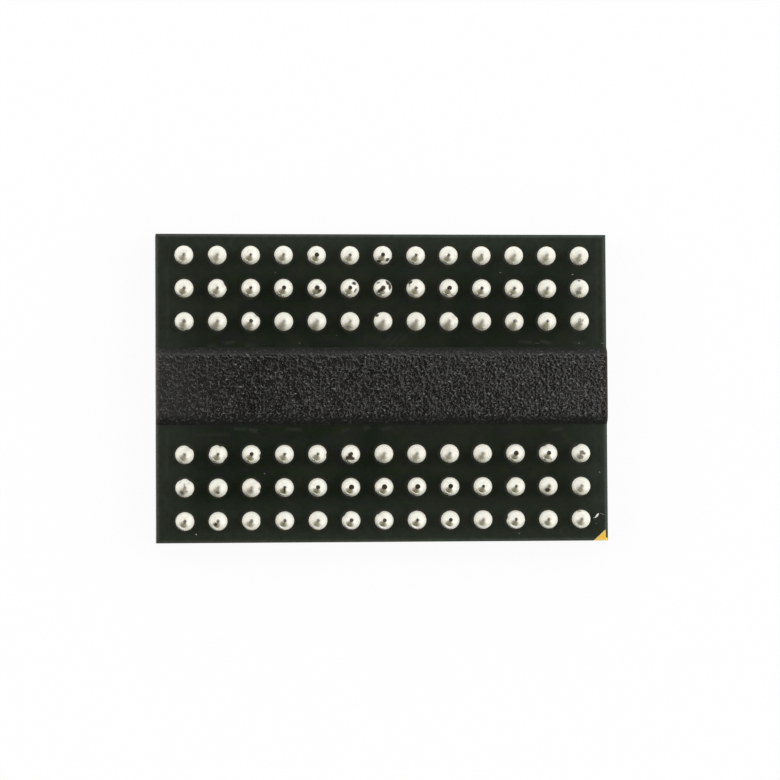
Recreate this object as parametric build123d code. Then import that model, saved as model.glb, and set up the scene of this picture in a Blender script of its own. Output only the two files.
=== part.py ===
from build123d import *
import os
from math import cos, pi, radians, sin, sqrt

# A board-on-chip memory package in millimetres, lying on its label face with its solder balls up.
# The origin is the centre of the flat label face. Z points up, to the ball tips.
# X runs along the package towards ball row A, and Y runs across it, from the ball columns 1 to 3
# in front of the moulded strip to the columns 7 to 9 behind it.

# Package outline
package_length = 10.95
package_width = 7.45

# Layers, from the label face up to the ball tips
mould_cap_height = 0.545
lower_mask_thickness = 0.020
core_thickness = 0.150
copper_thickness = 0.018
upper_mask_thickness = 0.035
strip_height = 0.130
ball_standoff = 0.350

# Ball grid: as many rows and columns as the package has room for, beside the moulded strip
all_row_letters = "ABCDEFGHJKLMNPRTUVWY"
ball_pitch = 0.80
inner_column_steps = 2
least_edge_margin = 0.45
ball_diameter = 0.45
ball_sides = 12
shoulder_latitude = 43.0

# Ball pads, the mask openings round them and the traces to the bonding window
pad_overlap = 0.004
pad_sides = 8
opening_clearance = 0.016
trace_width = 0.040
trace_gap = 0.025
trace_start_share = 0.68

# Bonding window: a routed slot in the board, with bare bond fingers along both sides
slot_end_web = 0.475
slot_width = 0.80
finger_setback = 0.08
finger_length = 0.30
window_end_margin = 0.12

# Moulded strip over the window: it runs from end to end, slightly off the middle of the package
strip_overlap = 0.155
strip_slope_run = 0.1425
strip_offset = 0.045
strip_edge_radius = 0.035

# Die, glued face up under the window by two strips of tape, with mould walls all round it
cap_end_wall = 0.775
cap_side_wall = 0.775
die_thickness = 0.200
tape_thickness = 0.050
tape_slot_setback = 0.15
tape_side_setback = 0.10
tape_end_setback = 0.15

# Gold wires, each from a pad on the middle line of the die to a bond finger
wire_thickness = 0.025
wire_loop_height = 0.085
die_pad_offset = 0.08
stitch_setback = 0.16

# Gold index mark at the corner beside ball A1
mark_length = 0.36
mark_width = 0.29
mark_lean = 0.05

# Heights and radii that follow from the sizes above
core_bottom = mould_cap_height + lower_mask_thickness
core_top = core_bottom + core_thickness
copper_top = core_top + copper_thickness
mask_top = core_top + upper_mask_thickness
strip_top = mask_top + strip_height
ball_top = mask_top + ball_standoff
ball_radius = ball_diameter / 2
ball_centre = ball_top - ball_radius
foot_radius = sqrt(ball_radius**2 - (ball_centre - copper_top)**2)
pad_radius = foot_radius + pad_overlap
opening_radius = pad_radius + opening_clearance
slot_length = package_length - 2 * slot_end_web
finger_end = slot_width / 2 + finger_setback
window_width = 2 * (finger_end + finger_length)
window_length = slot_length + 2 * window_end_margin
strip_base_width = window_width + 2 * strip_overlap
strip_top_width = strip_base_width - 2 * strip_slope_run
die_top = mould_cap_height - tape_thickness
die_length = package_length - 2 * cap_end_wall
die_width = package_width - 2 * cap_side_wall
tape_inner_edge = slot_width / 2 + tape_slot_setback
tape_width = die_width / 2 - tape_side_setback - tape_inner_edge
tape_length = die_length - 2 * tape_end_setback

# Rows of balls are lettered from the +X end, and columns are counted outwards from the strip
row_count = int((package_length - 2 * least_edge_margin) / ball_pitch) + 1
row_letters = all_row_letters[:row_count]
middle_row = (row_count - 1) / 2
inner_column_reach = inner_column_steps * ball_pitch
side_column_count = int((package_width / 2 - least_edge_margin - inner_column_reach) / ball_pitch) + 1
side_columns = range(side_column_count)
traced_columns = (0, 1)
FRONT = -1
BACK = 1

# A trace leaves its pad off centre and leans just enough to clear the next pad on its way in
trace_start = trace_start_share * pad_radius
trace_lean = (opening_radius + trace_gap + trace_width / 2 - trace_start) / ball_pitch


def polygon_radius(radius, sides):
    """Corner radius of the regular polygon that has the area of a circle."""
    return radius * sqrt(2 * pi / (sides * sin(2 * pi / sides)))


def round_face(radius, sides):
    """Round outline as a polygon of the same area."""
    return RegularPolygon(polygon_radius(radius, sides), sides, rotation=180 / sides)


def slab(length, width, bottom, top):
    """Block centred on the Z axis, between two heights."""
    block = Box(length, width, top - bottom, align=(Align.CENTER, Align.CENTER, Align.MIN))
    return Pos(0, 0, bottom) * block


def slot_prism(bottom, top):
    """Bonding slot with its round, routed ends."""
    return Pos(0, 0, bottom) * extrude(SlotOverall(slot_length, slot_width), amount=top - bottom)


def prism(points, bottom, top):
    """Straight prism on a polygon of X, Y points, listed either way round."""
    outline = Pos(0, 0, bottom) * Polygon(*points, align=None)
    return extrude(outline, amount=top - bottom, dir=(0, 0, 1))


def row_x(row):
    """Place of a ball row along the package."""
    return (middle_row - row_letters.index(row)) * ball_pitch


def column_y(side, column):
    """Place of a ball column across the package, on one side of the strip."""
    return side * (inner_column_reach + column * ball_pitch)


def lean_side(row):
    """Direction along X in which the traces of a row lean: to the middle row, whose own run straight."""
    x = row_x(row)
    return (x < 0) - (x > 0)


def trace_x(row, column, reach):
    """Place along the package of a ball's trace, at that reach from the middle line."""
    run = column_y(BACK, column) - reach
    return row_x(row) + lean_side(row) * (trace_start + trace_lean * run)


def ring_points(radius, height):
    """Corners of a level polygon that stands for a circle of a ball."""
    corner_radius = polygon_radius(radius, ball_sides)
    turns = [2 * pi * (step + 0.5) / ball_sides for step in range(ball_sides)]
    return [(corner_radius * cos(turn), corner_radius * sin(turn), height) for turn in turns]


def flat_facet(*points):
    """Flat face with these corners."""
    return Face(Wire.make_polygon(points, close=True))


def make_ball():
    """Solder ball: a sphere that ends flat on its pad, with its roundness cut into facets."""
    shoulder = radians(shoulder_latitude)
    foot_ring = ring_points(foot_radius, copper_top)
    girth_ring = ring_points(ball_radius, ball_centre)
    shoulder_ring = ring_points(ball_radius * cos(shoulder), ball_centre + ball_radius * sin(shoulder))
    tip = (0, 0, ball_top)
    facets = [flat_facet(*foot_ring)]
    for corner in range(ball_sides):
        previous = corner - 1
        for lower, upper in ((foot_ring, girth_ring), (girth_ring, shoulder_ring)):
            facets.append(flat_facet(lower[previous], lower[corner], upper[corner], upper[previous]))
        facets.append(flat_facet(shoulder_ring[previous], shoulder_ring[corner], tip))
    return Solid(Shell(facets))


def make_ball_row(row):
    """The balls of one row, on both sides of the moulded strip."""
    ball = make_ball()
    return [
        Pos(row_x(row), column_y(side, column), 0) * ball
        for side in (FRONT, BACK)
        for column in side_columns
    ]


def has_trace(row, column):
    """The two columns nearer the window have traces, but only the nearest one in the middle row."""
    return column in traced_columns and (column == 0 or lean_side(row) != 0)


def make_net(row, side, column):
    """One etched net: a ball pad, its trace under the mask and the bond finger at its end."""
    pad_y = column_y(side, column)
    disc = extrude(round_face(pad_radius, pad_sides), amount=copper_thickness)
    pad = Pos(row_x(row), pad_y, core_top) * disc
    if not has_trace(row, column):
        return pad
    half = trace_width / 2
    start_x = trace_x(row, column, abs(pad_y))
    end_x = trace_x(row, column, finger_end)
    end_y = side * finger_end
    outline = [
        (start_x - half, pad_y),
        (start_x + half, pad_y),
        (end_x + half, end_y),
        (end_x - half, end_y),
    ]
    return (pad + prism(outline, core_top, copper_top)).clean()


def make_wire(row, side):
    """Gold wire of a row: up from the die through the slot, then down to a stitch on the finger."""
    half = wire_thickness / 2
    loop_top = copper_top + wire_loop_height
    stitch = finger_end + stitch_setback
    drop = wire_loop_height / (stitch - die_pad_offset + half)
    outline = [
        (side * (die_pad_offset - half), die_top),
        (side * (die_pad_offset - half), loop_top),
        (side * stitch, copper_top),
        (side * (stitch - wire_thickness / drop), copper_top),
        (side * (die_pad_offset + half), loop_top - wire_thickness - wire_thickness * drop),
        (side * (die_pad_offset + half), die_top),
    ]
    stitch_x = trace_x(row, 0, stitch)
    profile = Plane.YZ * Polygon(*outline, align=None)
    return Pos(stitch_x, 0, 0) * extrude(profile, amount=half, both=True)


def make_mark_outline():
    """Corners of the index mark: its long side lies on the package edge, its short one leans in."""
    corner_x = package_length / 2
    corner_y = -package_width / 2
    return [
        (corner_x, corner_y),
        (corner_x - mark_lean, corner_y + mark_width),
        (corner_x - mark_length, corner_y),
    ]


def make_die():
    """Silicon die, with its circuit side up towards the window."""
    return slab(die_length, die_width, die_top - die_thickness, die_top)


def make_tape(side):
    """Strip of die tape beside the window, between the die and the board."""
    middle = side * (tape_inner_edge + tape_width / 2)
    return Pos(0, middle, 0) * slab(tape_length, tape_width, die_top, mould_cap_height)


def make_core():
    """Laminate core of the board, with the bonding slot routed through it."""
    return slab(package_length, package_width, core_bottom, core_top) - slot_prism(core_bottom, core_top)


def make_lower_mask():
    """Solder mask on the die side of the board."""
    film = slab(package_length, package_width, mould_cap_height, core_bottom)
    return film - slot_prism(mould_cap_height, core_bottom)


def make_upper_mask(nets):
    """Solder mask on the ball side: open at every ball, along the bond fingers and at the mark."""
    film = slab(package_length, package_width, core_top, mask_top)
    window = slab(window_length, window_width, core_top, mask_top)
    opening = extrude(round_face(opening_radius, pad_sides), amount=upper_mask_thickness)
    openings = [
        Pos(row_x(row), column_y(side, column), core_top) * opening
        for row in row_letters
        for side in (FRONT, BACK)
        for column in side_columns
    ]
    mark_opening = prism(make_mark_outline(), core_top, mask_top)
    return film - [window, mark_opening] - openings - nets


def make_strip():
    """Moulded strip over the window, with sloping sides and softened upper edges."""
    middle = strip_offset
    base = strip_base_width / 2
    top = strip_top_width / 2
    outline = [
        (middle - base, mask_top),
        (middle + base, mask_top),
        (middle + top, strip_top),
        (middle - top, strip_top),
    ]
    profile = Polygon(*outline, align=None)
    upper_corners = profile.vertices().group_by(Axis.Y)[-1]
    profile = fillet(upper_corners, strip_edge_radius)
    return extrude(Plane.YZ * profile, amount=package_length / 2, both=True)


def make_mould(embedded):
    """Mould compound in one piece: cap over the die, filled slot and window, strip on the ball side."""
    cap = slab(package_length, package_width, 0, mould_cap_height)
    slot_fill = slot_prism(mould_cap_height, core_top)
    window_fill = slab(window_length, window_width, core_top, mask_top)
    return cap + [slot_fill, window_fill, make_strip()] - embedded


# Build every piece, then write one file for each node
front_nets = [make_net(row, FRONT, column) for row in row_letters for column in side_columns]
back_nets = [make_net(row, BACK, column) for row in row_letters for column in side_columns]
front_wires = [make_wire(row, FRONT) for row in row_letters]
back_wires = [make_wire(row, BACK) for row in row_letters]
die = make_die()
front_tape = make_tape(FRONT)
back_tape = make_tape(BACK)
embedded_pieces = [die, front_tape, back_tape] + front_nets + back_nets + front_wires + back_wires

nodes = {
    "mould_body": [make_mould(embedded_pieces)],
    "memory_die": [die],
    "die_tape_front": [front_tape],
    "die_tape_back": [back_tape],
    "solder_mask_die_side": [make_lower_mask()],
    "laminate_core": [make_core()],
    "solder_mask_ball_side": [make_upper_mask(front_nets + back_nets)],
    "copper_nets_front": front_nets,
    "copper_nets_back": back_nets,
    "bond_wires_front": front_wires,
    "bond_wires_back": back_wires,
    "pin_one_mark": [prism(make_mark_outline(), core_top, copper_top)],
}
for letter in row_letters:
    nodes["solder_balls_row_" + letter.lower()] = make_ball_row(letter)

os.makedirs("parts", exist_ok=True)
for name, pieces in nodes.items():
    solids = [solid for piece in pieces for solid in piece.solids()]
    export_step(Compound(solids), "parts/" + name + ".step")
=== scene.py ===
"""Looks of a window-type ball grid package, lying on its label face with the solder balls up.

Lengths are in millimetres, in the model's own frame, and become metres when a mesh is made.
"""

import math
import random

import bpy
import numpy as np
from mathutils import Matrix, Vector, noise
from mathutils.geometry import delaunay_2d_cdt


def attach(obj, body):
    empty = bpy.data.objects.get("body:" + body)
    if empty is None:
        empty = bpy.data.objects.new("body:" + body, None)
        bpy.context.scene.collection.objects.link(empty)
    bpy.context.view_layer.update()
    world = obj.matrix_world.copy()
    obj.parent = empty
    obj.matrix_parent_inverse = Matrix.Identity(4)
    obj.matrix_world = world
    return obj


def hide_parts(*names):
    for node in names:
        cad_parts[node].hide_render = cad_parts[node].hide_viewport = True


MM = 0.001

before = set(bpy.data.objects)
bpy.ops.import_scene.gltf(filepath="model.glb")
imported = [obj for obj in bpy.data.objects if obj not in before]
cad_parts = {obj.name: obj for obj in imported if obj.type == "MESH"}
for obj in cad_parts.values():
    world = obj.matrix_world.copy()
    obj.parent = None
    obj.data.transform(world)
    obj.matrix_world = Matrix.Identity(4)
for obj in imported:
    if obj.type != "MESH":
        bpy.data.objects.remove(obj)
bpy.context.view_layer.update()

# Package, as the solids have it
half_length = 5.475
half_width = 3.725
cap_top = 0.545
core_top = 0.715
copper_top = 0.733
mask_top = 0.750
strip_top = 0.880
ball_centre = 0.875
ball_radius = 0.225
pitch = 0.80
opening_radius = 0.1945
slot_half_length = 5.0
slot_half_width = 0.40
window_half_length = 5.12
window_half_width = 0.78
strip_base = (-0.890, 0.980)
strip_crest = (-0.7475, 0.8375)
row_letters = "abcdefghjklmn"
columns_y = (3.2, 2.4, 1.6, -1.6, -2.4, -3.2)
ball_middles = [((column - 6) * pitch, y) for column in range(13) for y in columns_y]
mark_corners = ((5.475, -3.725), (5.425, -3.435), (5.115, -3.725))

# Camera, as found from the grid of balls in the photograph
camera_place = Vector((-7.00034, -3.10118, 75.35838))
camera_right = Vector((0.99541823, -0.00590634, 0.09543407))
camera_up = Vector((0.00199731, 0.99915698, 0.04100423))
camera_back = Vector((-0.0955958, -0.04062575, 0.99459087))
focal_pixels = 3100.741
image_size = 780
pixels_per_mm = 41.34


def make_camera():
    """Camera at the photograph's place and angle."""
    data = bpy.data.cameras.new("camera")
    data.sensor_width = 36.0
    data.lens = focal_pixels / image_size * data.sensor_width
    data.clip_start = 0.001
    data.clip_end = 10.0
    camera = bpy.data.objects.new("camera", data)
    turn = Matrix((camera_right, camera_up, camera_back)).transposed()
    camera.matrix_world = Matrix.Translation(camera_place * MM) @ turn.to_4x4()
    bpy.context.scene.collection.objects.link(camera)
    bpy.context.scene.camera = camera


def point_on_plane(pixel_x, pixel_y, height):
    """Place at that height that the photograph shows at a pixel."""
    across = (pixel_x - image_size / 2) / focal_pixels
    upward = (image_size / 2 - pixel_y) / focal_pixels
    ray = camera_right * across + camera_up * upward - camera_back
    return camera_place + ray * ((height - camera_place.z) / ray.z)


class Tree:
    """Short way to add nodes to a material or world."""

    def __init__(self, owner):
        owner.use_nodes = True
        self.nodes = owner.node_tree.nodes
        self.links = owner.node_tree.links

    def add(self, kind, **settings):
        node = self.nodes.new(kind)
        for name, value in settings.items():
            setattr(node, name, value)
        return node

    def feed(self, source, target):
        """Links a socket, or sets a plain value, on a target socket."""
        if isinstance(source, bpy.types.NodeSocket):
            self.links.new(source, target)
        else:
            target.default_value = source

    def math(self, operation, first, second=0.0):
        node = self.add("ShaderNodeMath", operation=operation)
        self.feed(first, node.inputs[0])
        self.feed(second, node.inputs[1])
        return node.outputs[0]

    def times(self, first, second):
        return self.math("MULTIPLY", first, second)

    def plus(self, first, second):
        return self.math("ADD", first, second)

    def dot(self, first, second):
        node = self.add("ShaderNodeVectorMath", operation="DOT_PRODUCT")
        self.feed(first, node.inputs[0])
        self.feed(second, node.inputs[1])
        return node.outputs["Value"]

    def ramp(self, value, start, end, low=0.0, high=1.0):
        """Smooth step from low at start to high at end."""
        node = self.add("ShaderNodeMapRange", interpolation_type="SMOOTHSTEP")
        for source, target in zip((value, start, end, low, high), node.inputs[:5]):
            self.feed(source, target)
        return node.outputs[0]

    def mix(self, factor, first, second):
        """Blend of two colours."""
        node = self.add("ShaderNodeMix", data_type="RGBA")
        self.feed(factor, node.inputs[0])
        for source, target in ((first, node.inputs[6]), (second, node.inputs[7])):
            self.feed(source if isinstance(source, bpy.types.NodeSocket) else (*source, 1.0), target)
        return node.outputs[2]


class Surface(Tree):
    """Material with its nodes and its shader."""

    def __init__(self, name, roughness, metallic=0.0):
        self.material = bpy.data.materials.new(name)
        super().__init__(self.material)
        self.shader = self.nodes["Principled BSDF"]
        self.set("Roughness", roughness)
        self.set("Metallic", metallic)
        self.set("IOR", 1.5)

    def set(self, name, value):
        """Feeds a socket or a plain value to that input of the shader."""
        self.feed(value, self.shader.inputs[name])

    def fed(self, name):
        """Socket that feeds that input of the shader."""
        return self.shader.inputs[name].links[0].from_socket

    def millimetres(self, stretch=(1.0, 1.0, 1.0)):
        """Object coordinates in millimetres, stretched along the axes."""
        node = self.add("ShaderNodeVectorMath", operation="MULTIPLY")
        self.feed(self.add("ShaderNodeTexCoord").outputs["Object"], node.inputs[0])
        node.inputs[1].default_value = [factor / MM for factor in stretch]
        return node.outputs[0]

    def along(self, axis):
        """Place along X or Y, as axis 0 or 1, in millimetres."""
        node = self.add("ShaderNodeSeparateXYZ")
        self.feed(self.millimetres(), node.inputs[0])
        return node.outputs[axis]

    def noise(self, scale, detail=2.0, roughness=0.5, stretch=(1.0, 1.0, 1.0)):
        """Soft noise, with about that many waves in a millimetre."""
        node = self.add("ShaderNodeTexNoise")
        self.feed(self.millimetres(stretch), node.inputs["Vector"])
        node.inputs["Scale"].default_value = scale
        node.inputs["Detail"].default_value = detail
        node.inputs["Roughness"].default_value = roughness
        return node.outputs["Fac"]

    def cells(self, scale, stretch=(1.0, 1.0, 1.0)):
        """Distance from the nearest of scattered points, about that many in a millimetre."""
        node = self.add("ShaderNodeTexVoronoi")
        self.feed(self.millimetres(stretch), node.inputs["Vector"])
        node.inputs["Scale"].default_value = scale
        return node.outputs["Distance"]

    def attribute(self, name):
        """Number that the mesh holds for each vertex."""
        return self.add("ShaderNodeAttribute", attribute_name=name).outputs["Fac"]

    def bump(self, height, depth):
        """Gives the shader a bump of that depth in millimetres."""
        node = self.add("ShaderNodeBump")
        node.inputs["Strength"].default_value = 1.0
        node.inputs["Distance"].default_value = depth * MM
        self.feed(height, node.inputs["Height"])
        self.set("Normal", node.outputs[0])


def strip_surface():
    """Moulded strip: black compound with a finely grained, shiny skin, duller flanks and paler sawn ends,
    with painted light up the back flank and painted shade along the front crest and the front flank.
    """
    tree = Surface("moulded_strip", roughness=0.3)
    cloud = tree.noise(1.4, 3.0)
    fine = tree.noise(17.0, 2.0, 0.6)
    flank = tree.attribute("flank")
    climb = tree.attribute("climb")
    colour = tree.mix(tree.ramp(cloud, 0.35, 0.65), (0.0058, 0.0059, 0.0055), (0.0084, 0.0084, 0.0078))
    colour = tree.mix(tree.ramp(fine, 0.60, 0.74), colour, (0.170, 0.170, 0.161))
    across = tree.along(0)
    colour = tree.mix(tree.ramp(across, -3.6, -5.2, 0.0, 0.7), colour, (0.0235, 0.0235, 0.0222))
    colour = tree.mix(tree.ramp(across, 3.4, 5.4, 0.0, 0.15), colour, (0.0280, 0.0280, 0.0245))
    more = tree.times(tree.ramp(fine, 0.56, 0.68), tree.ramp(across, -1.0, 4.8, 0.0, 0.46))
    colour = tree.mix(more, colour, (0.125, 0.125, 0.115))
    # Darker along the front crest edge: painted shade.
    shade = tree.attribute("shade")
    colour = tree.mix(tree.times(shade, 0.5), colour, (0.0056, 0.0056, 0.0054))
    # Flank colour and flecks: greenish at the foot like the mask, painted lighter as they climb (painted
    # light), and the front flank painted an even darker tone (painted shade).
    side = tree.mix(climb, (0.0122, 0.0146, 0.0118), (0.0190, 0.0200, 0.0182))
    side = tree.mix(tree.attribute("front"), side, (0.0128, 0.0135, 0.0122))
    flecks = tree.mix(climb, (0.030, 0.032, 0.028), (0.085, 0.087, 0.080))
    side = tree.mix(tree.ramp(fine, 0.50, 0.72, 0.0, 0.8), side, flecks)
    colour = tree.mix(flank, colour, side)
    tree.set("Base Color", tree.mix(tree.attribute("end"), colour, (0.062, 0.054, 0.047)))
    gleam = tree.times(tree.ramp(flank, 0.0, 1.0, 0.70, 0.15), tree.ramp(shade, 0.0, 1.0, 1.0, 0.45))
    tree.set("Specular IOR Level", gleam)
    blur = tree.ramp(fine, 0.3, 0.7, 0.12, 0.20)
    tree.set("Roughness", tree.plus(blur, tree.times(flank, 0.3)))
    tree.bump(tree.times(fine, tree.ramp(flank, 0.0, 1.0, 1.0, 0.15)), 0.010)
    return tree


def sawn_surface():
    """Sawn wall of the mould compound: saw lines along it and cut filler grains."""
    tree = Surface("sawn_compound", roughness=0.6)
    lines = tree.noise(6.0, 3.0, stretch=(0.35, 0.35, 9.0))
    grains = tree.cells(22.0)
    cloud = tree.noise(3.0, 3.0)
    colour = tree.mix(tree.ramp(cloud, 0.3, 0.7), (0.016, 0.016, 0.0155), (0.024, 0.024, 0.023))
    colour = tree.mix(tree.ramp(grains, 0.30, 0.12, 0.0, 0.55), colour, (0.060, 0.060, 0.057))
    colour = tree.mix(tree.ramp(lines, 0.5, 0.75, 0.0, 0.4), colour, (0.042, 0.042, 0.040))
    tree.set("Base Color", colour)
    tree.bump(tree.plus(lines, tree.times(grains, 0.5)), 0.004)
    return tree


def label_surface():
    """Label face of the mould: even and matt, with nothing on it."""
    tree = Surface("label_face", roughness=0.55)
    fine = tree.noise(30.0, 3.0)
    cloud = tree.noise(0.9, 3.0)
    colour = tree.mix(tree.ramp(cloud, 0.3, 0.7), (0.0150, 0.0150, 0.0145), (0.0195, 0.0195, 0.0185))
    tree.set("Base Color", tree.mix(tree.ramp(fine, 0.55, 0.8), colour, (0.030, 0.030, 0.029)))
    tree.set("Roughness", tree.ramp(fine, 0.3, 0.7, 0.50, 0.62))
    tree.bump(fine, 0.003)
    return tree


def mask_surface(name):
    """Dark green solder mask: glossy and slightly uneven."""
    tree = Surface(name, roughness=0.2)
    tree.set("Specular IOR Level", 0.32)
    cloud = tree.noise(0.75, 4.0, 0.6)
    patch = tree.noise(3.2, 3.0)
    fine = tree.noise(18.0, 3.0)
    colour = tree.mix(tree.ramp(cloud, 0.38, 0.64), (0.0088, 0.0138, 0.0078), (0.0158, 0.0196, 0.0124))
    colour = tree.mix(tree.ramp(patch, 0.45, 0.66, 0.0, 0.7), colour, (0.0112, 0.0128, 0.0120))
    colour = tree.mix(tree.ramp(fine, 0.52, 0.80, 0.0, 0.5), colour, (0.0170, 0.0210, 0.0140))
    tree.set("Base Color", colour)
    tree.set("Roughness", tree.ramp(patch, 0.3, 0.7, 0.14, 0.22))
    tree.bump(tree.plus(tree.times(patch, 1.6), tree.times(fine, 0.16)), 0.002)
    return tree


def ball_side_mask_surface():
    """Solder mask of the ball side: painted lighter beyond the balls, where they shade it less, and rougher
    where the saw has cut it, with a painted sheen along that edge.
    """
    tree = mask_surface("solder_mask")
    gap = tree.attribute("gap")
    uneven = tree.noise(7.0, 3.0)
    # Lighter beyond the balls, where they shade the mask less: painted light.
    painted_margin_light = tree.times(tree.ramp(gap, 1.45, 0.15), tree.ramp(uneven, 0.25, 0.7, 0.6, 1.0))
    colour = tree.mix(painted_margin_light, tree.fed("Base Color"), (0.0225, 0.0285, 0.0205))
    colour = tree.mix(tree.attribute("faint"), colour, (0.050, 0.056, 0.046))
    colour = tree.mix(tree.times(near_ball(tree), 0.6), colour, (0.048, 0.046, 0.038))
    # Along the sawn edge: rougher where the saw has cut it, and lighter, a painted sheen of the rolled edge.
    sawn_edge_and_sheen = tree.times(tree.ramp(gap, 0.10, 0.0), tree.ramp(uneven, 0.2, 0.7, 0.45, 1.0))
    rim = tree.mix(tree.ramp(tree.along(0), -5.0, 5.4), (0.046, 0.048, 0.040), (0.038, 0.054, 0.042))
    tree.set("Base Color", tree.mix(sawn_edge_and_sheen, colour, rim))
    tree.set("Roughness", tree.plus(tree.fed("Roughness"), tree.times(sawn_edge_and_sheen, 0.22)))
    return tree


def near_ball(tree):
    """One at the foot of a ball, falling to nothing a little way out on the mask."""
    squares = []
    for axis in (0, 1):
        place = tree.along(axis)
        nearest = tree.times(tree.math("ROUND", tree.math("DIVIDE", place, pitch)), pitch)
        offset = tree.math("SUBTRACT", place, nearest)
        squares.append(tree.times(offset, offset))
    ring = tree.ramp(tree.math("SQRT", tree.plus(*squares)), 0.215, 0.300, 1.0, 0.0)
    ring = tree.times(ring, tree.ramp(tree.math("ABSOLUTE", tree.along(1)), 1.20, 1.28))
    return tree.times(ring, tree.ramp(tree.math("ABSOLUTE", tree.along(0)), 5.15, 5.08))


def solder_surface():
    """Solder: bright, warm white metal, duller down its sides, with dark stains where they are and a painted
    reflection of the dark lens on its crown.
    """
    tree = Surface("solder", roughness=0.3, metallic=1.0)
    mottle = tree.noise(9.0, 3.0, 0.6)
    grain = tree.noise(34.0, 2.0)
    stain = tree.attribute("stain")
    dull = tree.attribute("dull")
    colour = tree.mix(tree.ramp(mottle, 0.35, 0.70), (0.95, 0.935, 0.845), (0.88, 0.865, 0.76))
    # Darker, browner crown: painted reflection of the dark lens overhead.
    colour = tree.mix(tree.attribute("top"), colour, (0.42, 0.36, 0.25))
    tree.set("Base Color", tree.mix(stain, colour, (0.042, 0.031, 0.019)))
    metal = tree.times(tree.ramp(dull, 0.0, 1.0, 1.0, 0.12), tree.ramp(stain, 0.3, 1.0, 1.0, 0.0))
    tree.set("Metallic", metal)
    blur = tree.plus(tree.ramp(mottle, 0.3, 0.7, -0.03, 0.05), tree.times(dull, 0.2))
    polish = tree.ramp(tree.attribute("polish"), 0.0, 1.0, 0.38, 0.10)
    tree.set("Roughness", tree.plus(polish, blur))
    tree.bump(tree.plus(mottle, tree.times(grain, 0.25)), 0.003)
    return tree


def gold_surface():
    """Plated gold of the index mark: soft sheen, more orange towards its middle."""
    tree = Surface("gold_plate", roughness=0.6, metallic=0.5)
    grain = tree.noise(24.0, 3.0)
    film = tree.attribute("film")
    colour = tree.mix(tree.attribute("middle"), (1.0, 0.74, 0.20), (1.0, 0.60, 0.05))
    colour = tree.mix(tree.ramp(grain, 0.45, 0.8, 0.0, 0.35), colour, (1.0, 0.80, 0.30))
    tree.set("Base Color", tree.mix(film, colour, (0.040, 0.048, 0.036)))
    tree.set("Metallic", tree.ramp(film, 0.0, 1.0, 0.5, 0.0))
    tree.bump(grain, 0.003)
    return tree


def two_tone_surface(name, roughness, metallic, grain, first, second, depth):
    """Material of an inner piece: two colours blended by a noise, which is its bump as well."""
    tree = Surface(name, roughness, metallic)
    pattern = tree.noise(*grain)
    tree.set("Base Color", tree.mix(pattern, first, second))
    tree.bump(pattern, depth)
    return tree


def laminate_surface():
    """Laminate, sawn at the edge: resin with layers of glass bundles, some cut across."""
    tree = Surface("laminate", roughness=0.55)
    layers = tree.noise(3.0, 3.0, stretch=(0.5, 0.5, 14.0))
    bundles = tree.cells(7.0, stretch=(1.0, 1.0, 2.6))
    strands = tree.noise(6.0, 2.0, stretch=(3.0, 3.0, 30.0))
    colour = tree.mix(tree.ramp(layers, 0.35, 0.65), (0.16, 0.115, 0.045), (0.26, 0.20, 0.095))
    colour = tree.mix(tree.ramp(bundles, 0.45, 0.25, 0.0, 0.7), colour, (0.42, 0.36, 0.22))
    colour = tree.mix(tree.ramp(strands, 0.55, 0.75, 0.0, 0.5), colour, (0.09, 0.065, 0.03))
    tree.set("Base Color", colour)
    tree.bump(tree.plus(strands, layers), 0.004)
    return tree


def silicon_surface():
    """Silicon die: dark, blue-grey and glossy, with faint ground lines."""
    tree = Surface("silicon", roughness=0.22, metallic=0.6)
    lines = tree.noise(4.0, 2.0, stretch=(1.0, 14.0, 14.0))
    cloud = tree.noise(1.2, 2.0)
    colour = tree.mix(cloud, (0.085, 0.095, 0.125), (0.120, 0.115, 0.140))
    tree.set("Base Color", tree.mix(tree.ramp(lines, 0.5, 0.8, 0.0, 0.4), colour, (0.17, 0.17, 0.20)))
    tree.bump(lines, 0.0008)
    return tree


def dust_surface():
    """Dust and fibre left on the mask: pale and dry."""
    tree = Surface("dust", roughness=0.8)
    grain = tree.noise(60.0, 3.0)
    dark = tree.mix(grain, (0.024, 0.025, 0.022), (0.036, 0.038, 0.033))
    light = tree.mix(grain, (0.78, 0.78, 0.75), (0.92, 0.92, 0.90))
    tree.set("Base Color", tree.mix(tree.attribute("pale"), dark, light))
    tree.bump(grain, 0.002)
    return tree


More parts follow.
